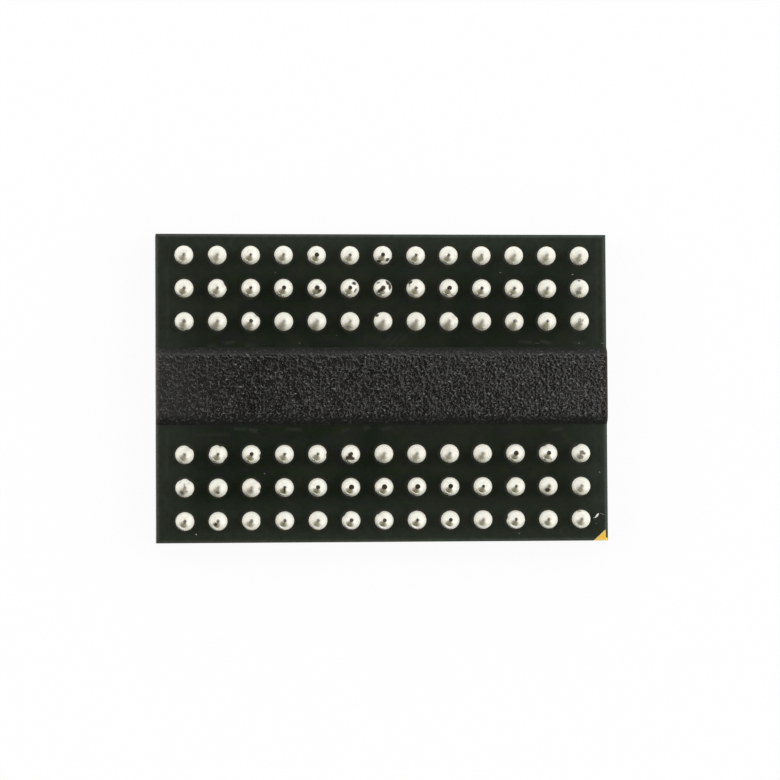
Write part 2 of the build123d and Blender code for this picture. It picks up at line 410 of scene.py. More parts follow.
def make_world():
    """Pale studio dome, with the dark front of a lens straight above and a shaded side towards the front."""
    world = bpy.data.worlds.new("studio")
    bpy.context.scene.world = world
    tree = Tree(world)
    direction = tree.add("ShaderNodeTexCoord").outputs["Generated"]
    lens_axis = Vector((-0.02, 0.03, 1.0)).normalized()
    lens_edge = math.cos(math.radians(23))
    lens_core = math.cos(math.radians(15.5))
    lens = tree.ramp(tree.dot(direction, lens_axis), lens_edge, lens_core)
    east = (Vector((1.0, 0.0, 0.0)) - lens_axis * lens_axis.x).normalized()
    north = lens_axis.cross(east)
    shade_turn = math.radians(248)
    shade_axis = east * math.cos(shade_turn) + north * math.sin(shade_turn)
    cross_axis = north * math.cos(shade_turn) - east * math.sin(shade_turn)
    along = tree.dot(direction, shade_axis)
    aside = tree.math("ABSOLUTE", tree.dot(direction, cross_axis))
    slope = tree.math("DIVIDE", aside, tree.math("MAXIMUM", along, 0.001))
    height = tree.dot(direction, (0.0, 0.0, 1.0))
    wedge = tree.times(tree.ramp(slope, 2.20, 0.15), tree.ramp(height, -0.25, -0.05))
    side = tree.ramp(tree.dot(direction, camera_right), -0.9, 0.9, 0.97, 1.10)
    upper = tree.ramp(tree.dot(direction, camera_up), 0.2, 0.9, 1.0, 0.92)
    glow = tree.add("ShaderNodeCombineColor")
    for channel in range(3):
        tree.feed(tree.times(side, upper), glow.inputs[channel])
    shaded = tree.mix(tree.ramp(height, 0.0, 0.55), (0.150, 0.140, 0.098), (0.225, 0.208, 0.145))
    colour = tree.mix(wedge, glow.outputs[0], shaded)
    colour = tree.mix(lens, colour, (0.040, 0.032, 0.020))
    seen = tree.add("ShaderNodeLightPath").outputs["Is Camera Ray"]
    colour = tree.mix(seen, colour, (0.99, 0.99, 0.99))
    background = tree.nodes["Background"]
    tree.feed(colour, background.inputs["Color"])
    background.inputs["Strength"].default_value = 1.0


def make_lamps():
    """Two soft boxes, right and left, low enough to light the sides of the balls."""
    boxes = (("softbox_right", (0.22, 0.03, 0.14), 0.21), ("softbox_left", (-0.22, 0.05, 0.14), 0.23))
    for name, place, energy in boxes:
        data = bpy.data.lights.new(name, "AREA")
        data.shape = "RECTANGLE"
        data.size = 0.16
        data.size_y = 0.16
        data.energy = energy
        lamp = bpy.data.objects.new(name, data)
        place = Vector(place)
        turn = place.to_track_quat("Z", "Y").to_matrix()
        lamp.matrix_world = Matrix.Translation(place) @ turn.to_4x4()
        lamp.visible_glossy = False
        bpy.context.scene.collection.objects.link(lamp)


def link_object(name, vertices, faces, surfaces, smooth=True, sharp_angle=35.0, kinds=None):
    """New mesh object from points in millimetres. Kinds are the numbers of the faces' surfaces."""
    mesh = bpy.data.meshes.new(name)
    mesh.from_pydata((np.asarray(vertices, dtype=float) * MM).tolist(), [], faces)
    for surface in surfaces:
        mesh.materials.append(surface.material)
    if kinds:
        mesh.polygons.foreach_set("material_index", kinds)
    mesh.polygons.foreach_set("use_smooth", [smooth] * len(mesh.polygons))
    mesh.update()
    if smooth:
        mesh.set_sharp_from_angle(angle=math.radians(sharp_angle))
    made = bpy.data.objects.new(name, mesh)
    bpy.context.scene.collection.objects.link(made)
    return made


def place_piece(made, nodes=(), slot=None, **values):
    """The piece rides on the package and stands for those nodes. The slot is not used.

    Values are lists with one number for each vertex, for the materials to read.
    """
    for name, numbers in values.items():
        layer = made.data.attributes.new(name, "FLOAT", "POINT")
        layer.data.foreach_set("value", np.asarray(numbers, dtype=np.float32))
    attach(made, "root")
    if nodes:
        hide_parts(*nodes)


def make_floor():
    """Plain pale floor. The camera sees it white, with the object's own faint shadow kept."""
    tree = Surface("floor", roughness=0.9)
    tree.set("Specular IOR Level", 0.1)
    tree.set("Base Color", tree.mix(tree.noise(0.8), (0.88, 0.88, 0.88), (0.90, 0.90, 0.90)))
    glow = tree.add("ShaderNodeEmission")
    glow.inputs["Color"].default_value = (1.0, 1.0, 1.0, 1.0)
    path = tree.add("ShaderNodeLightPath")
    seen = tree.math("MAXIMUM", path.outputs["Is Camera Ray"], path.outputs["Is Glossy Ray"])
    seen = tree.math("MAXIMUM", seen, path.outputs["Is Transmission Ray"])
    blend = tree.add("ShaderNodeMixShader")
    tree.feed(tree.times(seen, 0.93), blend.inputs[0])
    tree.links.new(tree.shader.outputs[0], blend.inputs[1])
    tree.links.new(glow.outputs[0], blend.inputs[2])
    tree.links.new(blend.outputs[0], tree.nodes["Material Output"].inputs["Surface"])
    steps = 48
    reach = 700.0
    turns = [2 * math.pi * step / steps for step in range(steps)]
    rim = [(reach * math.cos(turn), reach * math.sin(turn), -0.0005) for turn in turns]
    floor = link_object("floor", rim, [list(range(steps))], [tree], smooth=False)


def smoothstep(value, start, end):
    """Smooth step from 0 at start to 1 at end, for a number or an array."""
    share = np.clip((value - start) / (end - start), 0.0, 1.0)
    return share * share * (3 - 2 * share)


def rectangle(half_x, half_y):
    """Corners of a rectangle about the origin, anticlockwise."""
    return [(-half_x, -half_y), (half_x, -half_y), (half_x, half_y), (-half_x, half_y)]


def circle(centre_x, centre_y, radius):
    """Points of a circle, anticlockwise."""
    steps = 44
    turns = [2 * math.pi * (step + 0.5) / steps for step in range(steps)]
    return [(centre_x + radius * math.cos(turn), centre_y + radius * math.sin(turn)) for turn in turns]


def divided(points, spacing):
    """Closed outline with points added along its straight sides."""
    made = []
    for index, start in enumerate(points):
        end = points[(index + 1) % len(points)]
        count = max(1, round(math.dist(start, end) / spacing))
        for step in range(count):
            share = step / count
            made.append((start[0] + (end[0] - start[0]) * share, start[1] + (end[1] - start[1]) * share))
    return made


def loop_edges(first, count):
    """Edges of a closed loop of points that follow one another."""
    return [(first + step, first + (step + 1) % count) for step in range(count)]


def fill(points, edges):
    """Triangles over the points, kept to the edges and anticlockwise as seen from above.

    Returns the places, the triangles and the numbers of the points that each place comes from.
    """
    made = delaunay_2d_cdt([Vector(point) for point in points], edges, [], 0, 1e-7)
    places = np.array([tuple(point) for point in made[0]])
    triangles = np.array([list(face) for face in made[2]])
    a, b, c = (places[triangles[:, corner]] for corner in range(3))
    area = (b[:, 0] - a[:, 0]) * (c[:, 1] - a[:, 1]) - (b[:, 1] - a[:, 1]) * (c[:, 0] - a[:, 0])
    kept = triangles[np.abs(area) > 1e-12]
    turned = area[np.abs(area) > 1e-12] < 0
    kept[turned] = kept[turned][:, ::-1]
    return places, kept, made[3]


def wall(lower, upper):
    """Faces between two closed loops, each a list of vertex numbers."""
    return [list(face) for face in zip(lower, lower[1:] + lower[:1], upper[1:] + upper[:1], upper)]


def stack(first, rings, count):
    """Faces of a closed body: rings of vertices one above another, then a single one on top."""
    loops = [list(range(first + ring * count, first + (ring + 1) * count)) for ring in range(rings)]
    faces = [face for lower, upper in zip(loops, loops[1:]) for face in wall(lower, upper)]
    tip = first + rings * count
    faces += [[start, end, tip] for start, end in zip(loops[-1], loops[-1][1:] + loops[-1][:1])]
    return faces + [loops[0][::-1]]


def drop_unused(vertices, faces):
    """Vertices that some face uses, and the faces renumbered."""
    used = sorted({index for face in faces for index in face})
    renumbered = {old: new for new, old in enumerate(used)}
    return [vertices[index] for index in used], [[renumbered[index] for index in face] for face in faces]


def ball_distance(spots):
    """Distance of places from the middle of the nearest ball."""
    return np.min([np.hypot(spots[:, 0] - x, spots[:, 1] - y) for x, y in ball_middles], axis=0)


def edge_gap(spots):
    """Distance of places from the nearest side of the package."""
    return np.minimum(half_length - np.abs(spots[:, 0]), half_width - np.abs(spots[:, 1]))


def on_mask(spots):
    """Whether places lie on the mask, and not over the window, a ball's opening or the index mark."""
    kept = ~((np.abs(spots[:, 0]) < window_half_length) & (np.abs(spots[:, 1]) < window_half_width))
    kept &= ball_distance(spots) > opening_radius * 0.995
    inside = np.ones(len(spots), dtype=bool)
    for index in range(3):
        start = np.array(mark_corners[index])
        run = np.array(mark_corners[(index + 1) % 3]) - start
        offset = spots - start
        inside &= (run[0] * offset[:, 1] - run[1] * offset[:, 0]) > 0
    return kept & ~inside


# Residue at the foot of the strip, and copper that shows faintly through the mask: strength, then the line's
# points in the photograph's pixels
faint_lines = [
    (0.30, (226.0, 343.2), (233.0, 342.2)), (0.25, (209.5, 346.0), (214.5, 345.6)),
    (0.20, (247.0, 345.8), (254.0, 345.4)), (0.25, (521.0, 341.7), (531.0, 342.4)),
    (0.40, (541.5, 341.2), (548.5, 343.0)), (0.25, (574.0, 342.4), (584.0, 343.0)),
    (0.26, (234.5, 428.8), (245.5, 429.2)), (0.40, (250.0, 429.8), (256.5, 430.8)),
    (0.24, (287.5, 429.0), (299.0, 429.4)), (0.28, (383.0, 429.2), (391.0, 427.6)),
    (0.30, (365.0, 428.6), (368.5, 427.8)), (0.16, (343.0, 430.8), (348.0, 429.2)),
    (0.35, (555.0, 429.2), (561.0, 428.6)), (0.14, (383.0, 344.0), (394.0, 333.0)),
    (0.14, (389.0, 345.0), (400.0, 334.0)), (0.12, (396.0, 345.0), (406.0, 336.0)),
    (0.14, (596.4, 244.0), (596.4, 338.0)), (0.22, (602.6, 241.0), (602.6, 338.0)),
    (0.20, (602.4, 428.0), (602.4, 503.0)), (0.12, (595.6, 432.0), (595.6, 503.0)),
    (0.16, (167.5, 268.0), (167.5, 337.0)), (0.14, (167.0, 432.0), (167.0, 476.0)),
    (0.12, (196.0, 434.6), (228.0, 434.6)), (0.12, (562.0, 432.0), (571.0, 443.0)),
]
faint_half_width = 0.065


def faint_parts():
    """Straight parts of the faint lines on the mask: strength, start and run."""
    parts = []
    for strength, *pixels in faint_lines:
        ends = [np.array(point_on_plane(across, down, mask_top)[:2]) for across, down in pixels]
        parts.extend((strength, start, end - start) for start, end in zip(ends, ends[1:]))
    return parts


def faint_points():
    """Points along the middle and the sides of every faint line, for the mask's triangles."""
    points = []
    for _, start, run in faint_parts():
        length = float(np.hypot(*run))
        aside = np.array((-run[1], run[0])) / length * faint_half_width
        count = max(2, round(length / 0.05))
        for step in range(count + 1):
            middle = start + run * (step / count)
            points.extend(tuple(map(float, middle + aside * side)) for side in (-1, 0, 1))
    return points


def faint_values(spots):
    """How strongly a faint line shows at each place on the mask."""
    values = np.zeros(len(spots))
    for strength, start, run in faint_parts():
        share = np.clip((spots - start) @ run / (run @ run), 0.0, 1.0)
        away = np.hypot(*(spots - start - share[:, None] * run).T)
        values = np.maximum(values, strength * np.clip(1.0 - away / faint_half_width, 0.0, 1.0))
    return values


def make_mask(surface):
    """Solder mask of the ball side, with its round openings and rolled edges."""
    roll_width = 0.09
    roll_depth = 0.017
    lip_width = 0.010
    lip_depth = 0.004
    wave_depth = 0.0012
    side_spacing = 0.10
    window_spacing = 0.2
    grid_spacing = 0.09
    grid_start = 0.12
    grid_end = 0.1
    corners = rectangle(half_length, half_width)
    window = rectangle(window_half_length, window_half_width)
    loops = [divided(corners, side_spacing), divided(window, window_spacing)]
    for radius in (opening_radius, opening_radius + lip_width):
        loops += [circle(x, y, radius) for x, y in ball_middles]
    for inset in (0.018, 0.036, 0.054, 0.072, roll_width):
        loop = [(x * (1 - inset / abs(x)), y * (1 - inset / abs(y))) for x, y in corners]
        loops.append(divided(loop, side_spacing))
    points = []
    edges = []
    for loop in loops:
        edges += loop_edges(len(points), len(loop))
        points += loop
    for line in (mark_corners[1:], mark_corners[:2]):
        edges.append((len(points), len(points) + 1))
        points += line
    for x in np.arange(-half_length + grid_start, half_length - grid_end, grid_spacing):
        for y in np.arange(-half_width + grid_start, half_width - grid_end, grid_spacing):
            points.append((float(x), float(y)))
    places, triangles, _ = fill(points + faint_points(), edges)
    triangles = triangles[on_mask(places[triangles].mean(axis=1))]
    lip = ball_distance(places) < opening_radius + 0.001
    wave = np.array([noise.noise(Vector((x * 1.3, y * 1.3, 4.0))) for x, y in places])
    roll = 1.0 - np.clip(edge_gap(places) / roll_width, 0.0, 1.0)
    top = mask_top - wave_depth * (0.5 + 0.5 * wave)
    top -= roll_depth * roll**1.6 + lip_depth * lip
    vertices, faces = drop_unused([(x, y, z) for (x, y), z in zip(places, top)], triangles.tolist())
    count = len(vertices)
    sides = [side for face in faces for side in zip(face, face[1:] + face[:1])]
    known = set(sides)
    rim = [(start, end) for start, end in sides if (end, start) not in known]
    rim_points = sorted({index for side in rim for index in side})
    order = {index: step for step, index in enumerate(rim_points)}
    vertices += [(vertices[index][0], vertices[index][1], core_top) for index in rim_points]
    faces += [[end, start, count + order[start], count + order[end]] for start, end in rim]
    rim_edges = [(order[start], order[end]) for start, end in rim]
    places, under, origins = fill([vertices[index][:2] for index in rim_points], rim_edges)
    for face in under[on_mask(places[under].mean(axis=1))]:
        faces.append([count + origins[index][0] for index in face][::-1])
    mask = link_object("ball_side_mask", vertices, faces, [surface], sharp_angle=40.0)
    spots = np.array(vertices)[:, :2]
    values = {"gap": edge_gap(spots), "faint": faint_values(spots)}
    place_piece(mask, ["solder_mask_ball_side"], "solder_mask", **values)


def strip_profile():
    """Cross-section of the moulded strip, from its front foot to its back one, as Y and height."""
    flank_steps = 9
    top_steps = 88
    flanks = []
    for base, crest in zip(strip_base, strip_crest):
        flank = []
        for step in range(flank_steps):
            share = step / flank_steps
            rise = smoothstep(share, 0.0, 1.0) * 0.35 + share * 0.65
            flank.append((base + (crest - base) * share, mask_top + (strip_top - mask_top) * rise))
        flanks.append(flank)
    front, back = strip_crest
    top = [(front + (back - front) * step / top_steps, strip_top) for step in range(top_steps + 1)]
    return flanks[0] + top + flanks[1][::-1]


def grain_height(x, y):
    """Skin of the moulded strip: short, winding ridges, from 0 at a ridge to 1 in a hollow."""
    here = Vector((x * 11.0, y * 11.0, 0.0))
    first = 1.0 - abs(noise.noise(here)) * 2.0
    second = 1.0 - abs(noise.noise(here * 1.9 + Vector((7.3, 1.1, 5.0)))) * 2.0
    return 1.0 - max(0.0, min(1.0, 0.65 * first + 0.35 * second))


def make_mould(*surfaces):
    """Mould in one piece: the cap under the board, the filled slot and window, and the strip.

    The surfaces are those of the strip, the sawn walls and the label face.
    """
    strip, sawn, label = range(3)
    profile = strip_profile()
    across = len(profile)
    along = 592
    shoulder_width = 0.16
    shoulder_drop = 0.012
    sag_depth = 0.0015
    vertices = []
    faces = []
    kinds = []

    def add_faces(made, kind):
        faces.extend(made)
        kinds.extend([kind] * len(made))

    def add_loop(points, height):
        first = len(vertices)
        vertices.extend((x, y, height) for x, y in points)
        return list(range(first, first + len(points)))

    def add_ring(outer, inner, turned):
        """Flat ring between two loops at one height."""
        ids = outer + inner
        split = len(outer)
        edges = loop_edges(0, split) + loop_edges(split, len(inner))
        _, triangles, origins = fill([vertices[index][:2] for index in ids], edges)
        for face in triangles:
            corners = [origins[index][0] for index in face]
            if min(corners) < split:
                kept = [ids[corner] for corner in corners]
                add_faces([kept[::-1] if turned else kept], sawn)

    for step in range(along + 1):
        x = -half_length + 2 * half_length * step / along
        end_gap = half_length - abs(x)
        for index, (y, z) in enumerate(profile):
            height = z
            if 0 < index < across - 1:
                shoulder = min(y - strip_crest[0], strip_crest[1] - y)
                lean = max(0.0, min(1.0, (shoulder_width - shoulder) / shoulder_width))
                drop = shoulder_drop * lean**2 * smoothstep(z, mask_top + 0.08, strip_top)
                depth = (0.0125 + 0.0025 * smoothstep(x, -5.0, 0.0)) * grain_height(x, y)
                depth *= smoothstep(z, mask_top + 0.02, strip_top - 0.02) * smoothstep(end_gap, 0.0, 0.06)
                sag = sag_depth * (0.5 + 0.5 * noise.noise(Vector((x * 0.8, y * 1.5, 9.0))))
                height = max(z - (drop + depth + sag), mask_top + 0.0005)
            vertices.append((x, y, height))
    starts = [step * across + index for step in range(along) for index in range(across - 1)]
    add_faces([[first, first + across, first + across + 1, first + 1] for first in starts], strip)
    left_end = list(range(across))
    right_end = [along * across + index for index in left_end]
    add_faces([left_end, right_end[::-1]], sawn)
    front_foot = [step * across for step in range(along + 1)]
    back_foot = [first + across - 1 for first in front_foot]
    window = divided(rectangle(window_half_length, window_half_width), 0.25)
    round_end = slot_half_length - slot_half_width
    slot = []
    for side in (1, -1):
        for step in range(17):
            turn = -side * math.pi / 2 + math.pi * step / 16
            x = side * round_end + slot_half_width * math.cos(turn)
            slot.append((x, slot_half_width * math.sin(turn)))
    window_upper = add_loop(window, mask_top)
    window_lower = add_loop(window, core_top)
    slot_upper = add_loop(slot, core_top)
    slot_lower = add_loop(slot, cap_top)
    add_ring(front_foot + back_foot[::-1], window_upper, True)
    add_faces(wall(window_lower, window_upper), sawn)
    add_ring(window_lower, slot_upper, True)
    add_faces(wall(slot_lower, slot_upper), sawn)
    chamfer = 0.012
    wobble_depth = 0.003
    level_step = 0.0665
    levels = [(cap_top - level_step * step, 0.0) for step in range(8)]
    levels += [(chamfer, 0.0), (chamfer * 0.35, chamfer * 0.35), (0.0, chamfer), (0.0, chamfer + 0.03)]
    rings = []
    for height, inset in levels:
        ring = []
        for x, y in divided(rectangle(half_length, half_width), 0.06):
            pull = inset
            if 0.0 < height < cap_top:
                pull += wobble_depth * (0.5 + 0.5 * noise.noise(Vector((x * 2.0, y * 2.0, height * 14.0))))
            ring.append((x - math.copysign(pull, x) * (abs(x) > half_length - 1e-6),
                         y - math.copysign(pull, y) * (abs(y) > half_width - 1e-6)))
        rings.append(add_loop(ring, height))
    add_ring(rings[0], slot_lower, False)
    for upper, lower in zip(rings, rings[1:-1]):
        add_faces(wall(lower, upper), sawn)
    add_faces(wall(rings[-1], rings[-2]) + [rings[-1][::-1]], label)
    mould = link_object("mould", vertices, faces, surfaces, kinds=kinds)
    x, y, z = np.array(vertices).T
    crest_gap = np.minimum(y - strip_crest[0], strip_crest[1] - y)
    values = {
        "flank": smoothstep(-crest_gap, -0.06, 0.02),
        "shade": 1 - smoothstep(y - strip_crest[0], -0.03, 0.16),
        "climb": smoothstep(z, mask_top, strip_top),
        "front": y < 0,
        "end": 1 - smoothstep(half_length - np.abs(x), 0.0, np.where(x > 0, 0.07, 0.11)),
    }
    place_piece(mould, ["mould_body"], "mould_compound", **values)


# Marks on single balls, in pixels from the ball's centre: right, up, half length, half width, turn, strength
ball_stains = {
    (0, 4): [(0.3, -2.6, 1.3, 0.6, 20, 0.4)],
    (0, 6): [(4.6, -4.8, 2.5, 1.6, 35, 1.0), (-3.9, -6.4, 3.0, 1.5, -5, 1.0), (7.6, -5.4, 1.4, 1.0, 50, 0.9)],
    (0, 9): [(1.0, -2.8, 0.9, 2.2, 10, 0.5)],
    (1, 3): [(0.2, -2.6, 0.9, 1.7, 0, 0.6)],
    (1, 4): [(0.5, 0.5, 2.9, 2.5, 0, 1.0), (2.9, -2.9, 3.0, 1.9, 45, 1.0), (-2.4, -5.6, 1.5, 1.0, 20, 0.4)],
    (1, 5): [(4.2, 4.6, 2.6, 1.6, -30, 1.0), (5.6, -2.6, 3.4, 1.1, 62, 0.8)],
    (1, 6): [(-1.8, -1.7, 5.3, 2.0, 37, 1.0), (5.2, 5.0, 3.0, 1.9, -50, 1.0), (7.2, 1.4, 3.2, 1.6, 88, 1.0),
             (-4.6, 5.5, 2.2, 1.0, 10, 0.8)],
    (1, 7): [(-5.3, 5.8, 2.8, 1.6, 45, 1.0), (-6.0, 2.0, 1.4, 0.8, 60, 0.6)],
    (1, 8): [(3.4, -6.9, 1.8, 0.8, -20, 0.5)],
    (1, 12): [(-0.8, 7.7, 1.9, 1.1, 0, 0.8), (-1.1, -4.4, 2.7, 1.9, 0, 0.75)],
    (2, 0): [(0.0, 0.6, 2.1, 1.9, 0, 0.5)],
    (2, 5): [(1.3, -6.1, 2.1, 0.8, -20, 0.5), (-2.0, -5.4, 1.8, 1.0, 10, 0.4)],
    (2, 6): [(-5.8, 5.7, 2.1, 1.5, 25, 1.0)],
    (2, 9): [(0.4, -7.6, 1.8, 0.9, 0, 0.5)],
    (2, 12): [(2.8, 0.9, 1.0, 2.2, -25, 0.5), (-0.6, 2.2, 2.2, 0.8, 20, 0.45), (-1.8, 0.2, 0.8, 1.6, 10, 0.4),
              (0.6, -3.0, 2.6, 1.2, 10, 0.5)],
    (3, 4): [(-2.4, -1.0, 1.1, 0.8, 0, 0.5)],
    (3, 5): [(-0.6, -0.8, 2.2, 2.6, 0, 1.0), (-3.0, -3.6, 3.0, 2.0, 25, 1.0), (1.4, -4.2, 3.0, 2.0, -15, 1.0),
             (-0.7, -2.6, 3.2, 2.5, 0, 1.0)],
    (3, 11): [(-2.2, -3.4, 2.0, 0.7, 40, 0.6), (2.6, -6.0, 2.0, 0.7, -45, 0.6)],
    (3, 12): [(2.0, 0.8, 3.2, 1.5, -50, 0.8), (-0.9, -3.8, 3.2, 2.2, 0, 0.7), (-0.2, 1.8, 2.2, 1.2, 10, 0.7)],
    (4, 0): [(0.2, 2.6, 1.1, 2.6, 0, 0.5), (-2.4, -4.6, 2.7, 1.8, -35, 0.9), (2.4, -3.2, 1.6, 1.2, -30, 0.45),
             (-4.2, 5.4, 1.6, 0.8, 40, 0.35)],
    (4, 1): [(-0.2, -4.4, 2.4, 1.4, -10, 0.9)],
    (4, 2): [(0.0, -2.6, 1.8, 1.6, 0, 0.3), (8.2, -0.6, 0.8, 1.8, 0, 0.6)],
    (4, 3): [(0.2, -2.2, 1.3, 2.9, 0, 1.0), (0.1, -4.9, 1.6, 1.4, 0, 0.9)],
    (4, 11): [(-1.2, -3.6, 2.9, 2.2, 10, 1.0), (0.9, 0.4, 1.6, 1.8, 0, 0.7)],
    (5, 1): [(-2.2, -3.2, 2.2, 2.1, 30, 1.0)],
    (5, 2): [(0.2, -0.4, 2.6, 2.0, 50, 0.6)],
    (5, 12): [(-2.0, 8.0, 2.6, 1.0, 10, 0.5)],
}

# Dents in the sides of single balls: place, right and up in pixels, depth in millimetres, width in pixels
ball_dents = {
    (0, 1): [(-8.2, -4.2, 0.021, 3.4)],
    (0, 3): [(-8.7, -3.3, 0.012, 2.6)],
    (0, 4): [(-9.0, -1.9, 0.014, 2.0)],
    (1, 1): [(8.3, 4.4, 0.028, 3.2)],
    (1, 4): [(6.4, 7.0, 0.012, 2.6)],
    (2, 0): [(2.0, -9.0, 0.016, 2.4)],
    (2, 2): [(6.1, 6.9, 0.031, 3.0)],
    (2, 8): [(6.2, 6.8, 0.023, 3.2)],
    (3, 0): [(5.2, 7.8, 0.025, 3.2)],
    (3, 1): [(2.3, 9.0, 0.031, 2.0), (-8.8, 2.4, 0.014, 2.4), (7.4, -5.6, 0.019, 3.0)],
    (3, 2): [(9.2, -1.6, 0.026, 1.6)],
    (3, 4): [(9.3, -0.6, 0.025, 1.7)],
    (3, 11): [(-3.9, 8.4, 0.028, 2.6)],
    (3, 12): [(-4.8, 8.0, 0.027, 2.9)],
    (4, 0): [(5.3, 7.7, 0.021, 3.2), (-4.0, 8.4, 0.014, 2.6)],
    (4, 2): [(5.4, 7.5, 0.021, 2.8), (9.2, -1.8, 0.018, 1.7)],
    (4, 6): [(-6.0, 7.2, 0.012, 2.8)],
    (4, 10): [(-7.4, 6.0, 0.018, 2.8)],
    (5, 2): [(9.1, 0.6, 0.011, 2.4)],
    (5, 5): [(-7.5, 6.0, 0.026, 3.0)],
    (5, 6): [(-5.2, 7.9, 0.025, 2.8)],
    (5, 10): [(-9.0, 2.0, 0.028, 2.0)],
}

# How sharply the balls mirror: letters from soft to sharp, then the letter of each ball, row by row
polish_levels = {"a": 0.0, "b": 0.12, "c": 0.30, "d": 0.46, "e": 0.58, "f": 0.70, "g": 0.82, "h": 0.96}
ball_polish = (
    "caedgdgeecaaa",
    "edgggghegfdca",
    "ccfabbaabaddc",
    "cegdefabbagfc",
    "bbbgfhhhhgecc",
    "ddcecffffcedc",
)

# Small flats on the tops of single balls: radius in pixels
ball_flats = {
    (0, 4): 2.2, (0, 6): 2.0, (1, 3): 2.0, (1, 4): 2.5, (1, 5): 1.8, (1, 6): 2.2, (1, 8): 2.3, (2, 0): 1.4,
    (2, 2): 1.8, (2, 10): 1.8, (3, 2): 1.9, (3, 5): 1.6, (3, 10): 2.5, (3, 11): 2.1, (4, 4): 2.0, (4, 5): 2.7,
    (4, 6): 2.8, (4, 7): 2.7, (4, 8): 2.4, (5, 5): 1.9, (5, 6): 1.8, (5, 8): 1.7,
}


# Rings of points on a ball, and points on each of them
ball_levels = 40
ball_turns = 64


def ball_shape(row, column, dice):
    """Points of a ball about its centre, and the values that its material reads."""
    foot = math.asin((copper_top - ball_centre) / ball_radius)
    directions = []
    for level in range(ball_levels):
        latitude = foot + (math.pi / 2 - foot) * level / ball_levels
        reach = math.cos(latitude)
        for step in range(ball_turns):
            turn = 2 * math.pi * step / ball_turns
            directions.append((reach * math.cos(turn), reach * math.sin(turn), math.sin(latitude)))
    directions.append((0.0, 0.0, 1.0))
    directions = np.array(directions)
    shift = Vector((dice.uniform(0, 50), dice.uniform(0, 50), dice.uniform(0, 50)))
    lumps = np.array([noise.noise(Vector(direction) * 1.6 + shift) for direction in directions.tolist()])
    ripple = np.array([noise.noise(Vector(direction) * 5.0 + shift) for direction in directions.tolist()])
    radii = ball_radius * (1.0 - 0.010 * (0.5 + 0.5 * lumps) - 0.003 * (0.5 + 0.5 * ripple))
    full = ball_radius * pixels_per_mm
    seen_right = directions @ np.array(camera_right) * full
    seen_up = directions @ np.array(camera_up) * full
    front = directions @ np.array(camera_back) > 0
    for right, up, depth, width in ball_dents.get((row, column), ()):
        away = np.hypot(seen_right - right, seen_up - up)
        radii -= depth * np.exp(-((away / width) ** 2)) * smoothstep(directions[:, 2], -0.70, -0.25)
    stain = np.zeros(len(directions))
    for right, up, long_half, wide_half, turn, strength in ball_stains.get((row, column), ()):
        angle = math.radians(turn)
        across = (seen_right - right) * math.cos(angle) + (seen_up - up) * math.sin(angle)
        beside = (seen_up - up) * math.cos(angle) - (seen_right - right) * math.sin(angle)
        away = np.hypot(across / long_half, beside / wide_half)
        stain = np.maximum(stain, strength * (1 - smoothstep(away + 0.25 * ripple, 0.65, 1.15)) * front)
    low_ring = np.abs(directions[:, 2] - math.sin(foot)) < 1e-6
    radii[low_ring] = ball_radius
    shape = directions * radii[:, None]
    flat = ball_flats.get((row, column), 0.0) / pixels_per_mm
    if flat:
        lid = math.sqrt(ball_radius**2 - flat**2) * 0.995
        lean = np.array((dice.uniform(-0.03, 0.03), dice.uniform(-0.03, 0.03)))
        limit = lid + shape[:, :2] @ lean
        soft = 0.0012
        over = shape[:, 2] - limit
        shape[:, 2] = limit + over - soft * np.logaddexp(0.0, over / soft)
    shaded_bearing = 241.0
    bearing = np.degrees(np.arctan2(directions[:, 1], directions[:, 0]))
    shaded = 1 - smoothstep(np.abs((bearing - shaded_bearing + 180) % 360 - 180), 8.0, 62.0)
    tilt = np.degrees(np.arccos(directions[:, 2]))
    dull = smoothstep(tilt, 27.0, 47.0) * (1 - shaded) + 0.40 * smoothstep(tilt, 42.0, 66.0) * shaded
    # Weight of the darker crown colour, a painted reflection of the lens.
    top = 0.30 * np.exp(-((tilt / 10.0) ** 2))
    polish = np.full(len(directions), polish_levels[ball_polish[row][column]])
    return shape, {"stain": stain, "dull": dull, "top": top, "polish": polish}


def make_balls(surface):
    """The solder balls, one piece for each row of the package."""
    dice = random.Random(78)
    for column, letter in zip(range(12, -1, -1), row_letters):
        vertices = []
        faces = []
        values = {"stain": [], "dull": [], "top": [], "polish": []}
        for row, y in enumerate(columns_y):
            shape, marks = ball_shape(row, column, dice)
            stray_x = dice.uniform(-0.004, 0.004)
            stray_y = dice.uniform(-0.004, 0.004)
            centre = np.array(((column - 6) * pitch + stray_x, y + stray_y, ball_centre))
            faces += stack(len(vertices), ball_levels, ball_turns)
            vertices += (shape + centre).tolist()
            for name, numbers in marks.items():
                values[name].extend(numbers)
        balls = link_object("balls_row_" + letter, vertices, faces, [surface], sharp_angle=60.0)
        place_piece(balls, ["solder_balls_row_" + letter], "solder", **values)


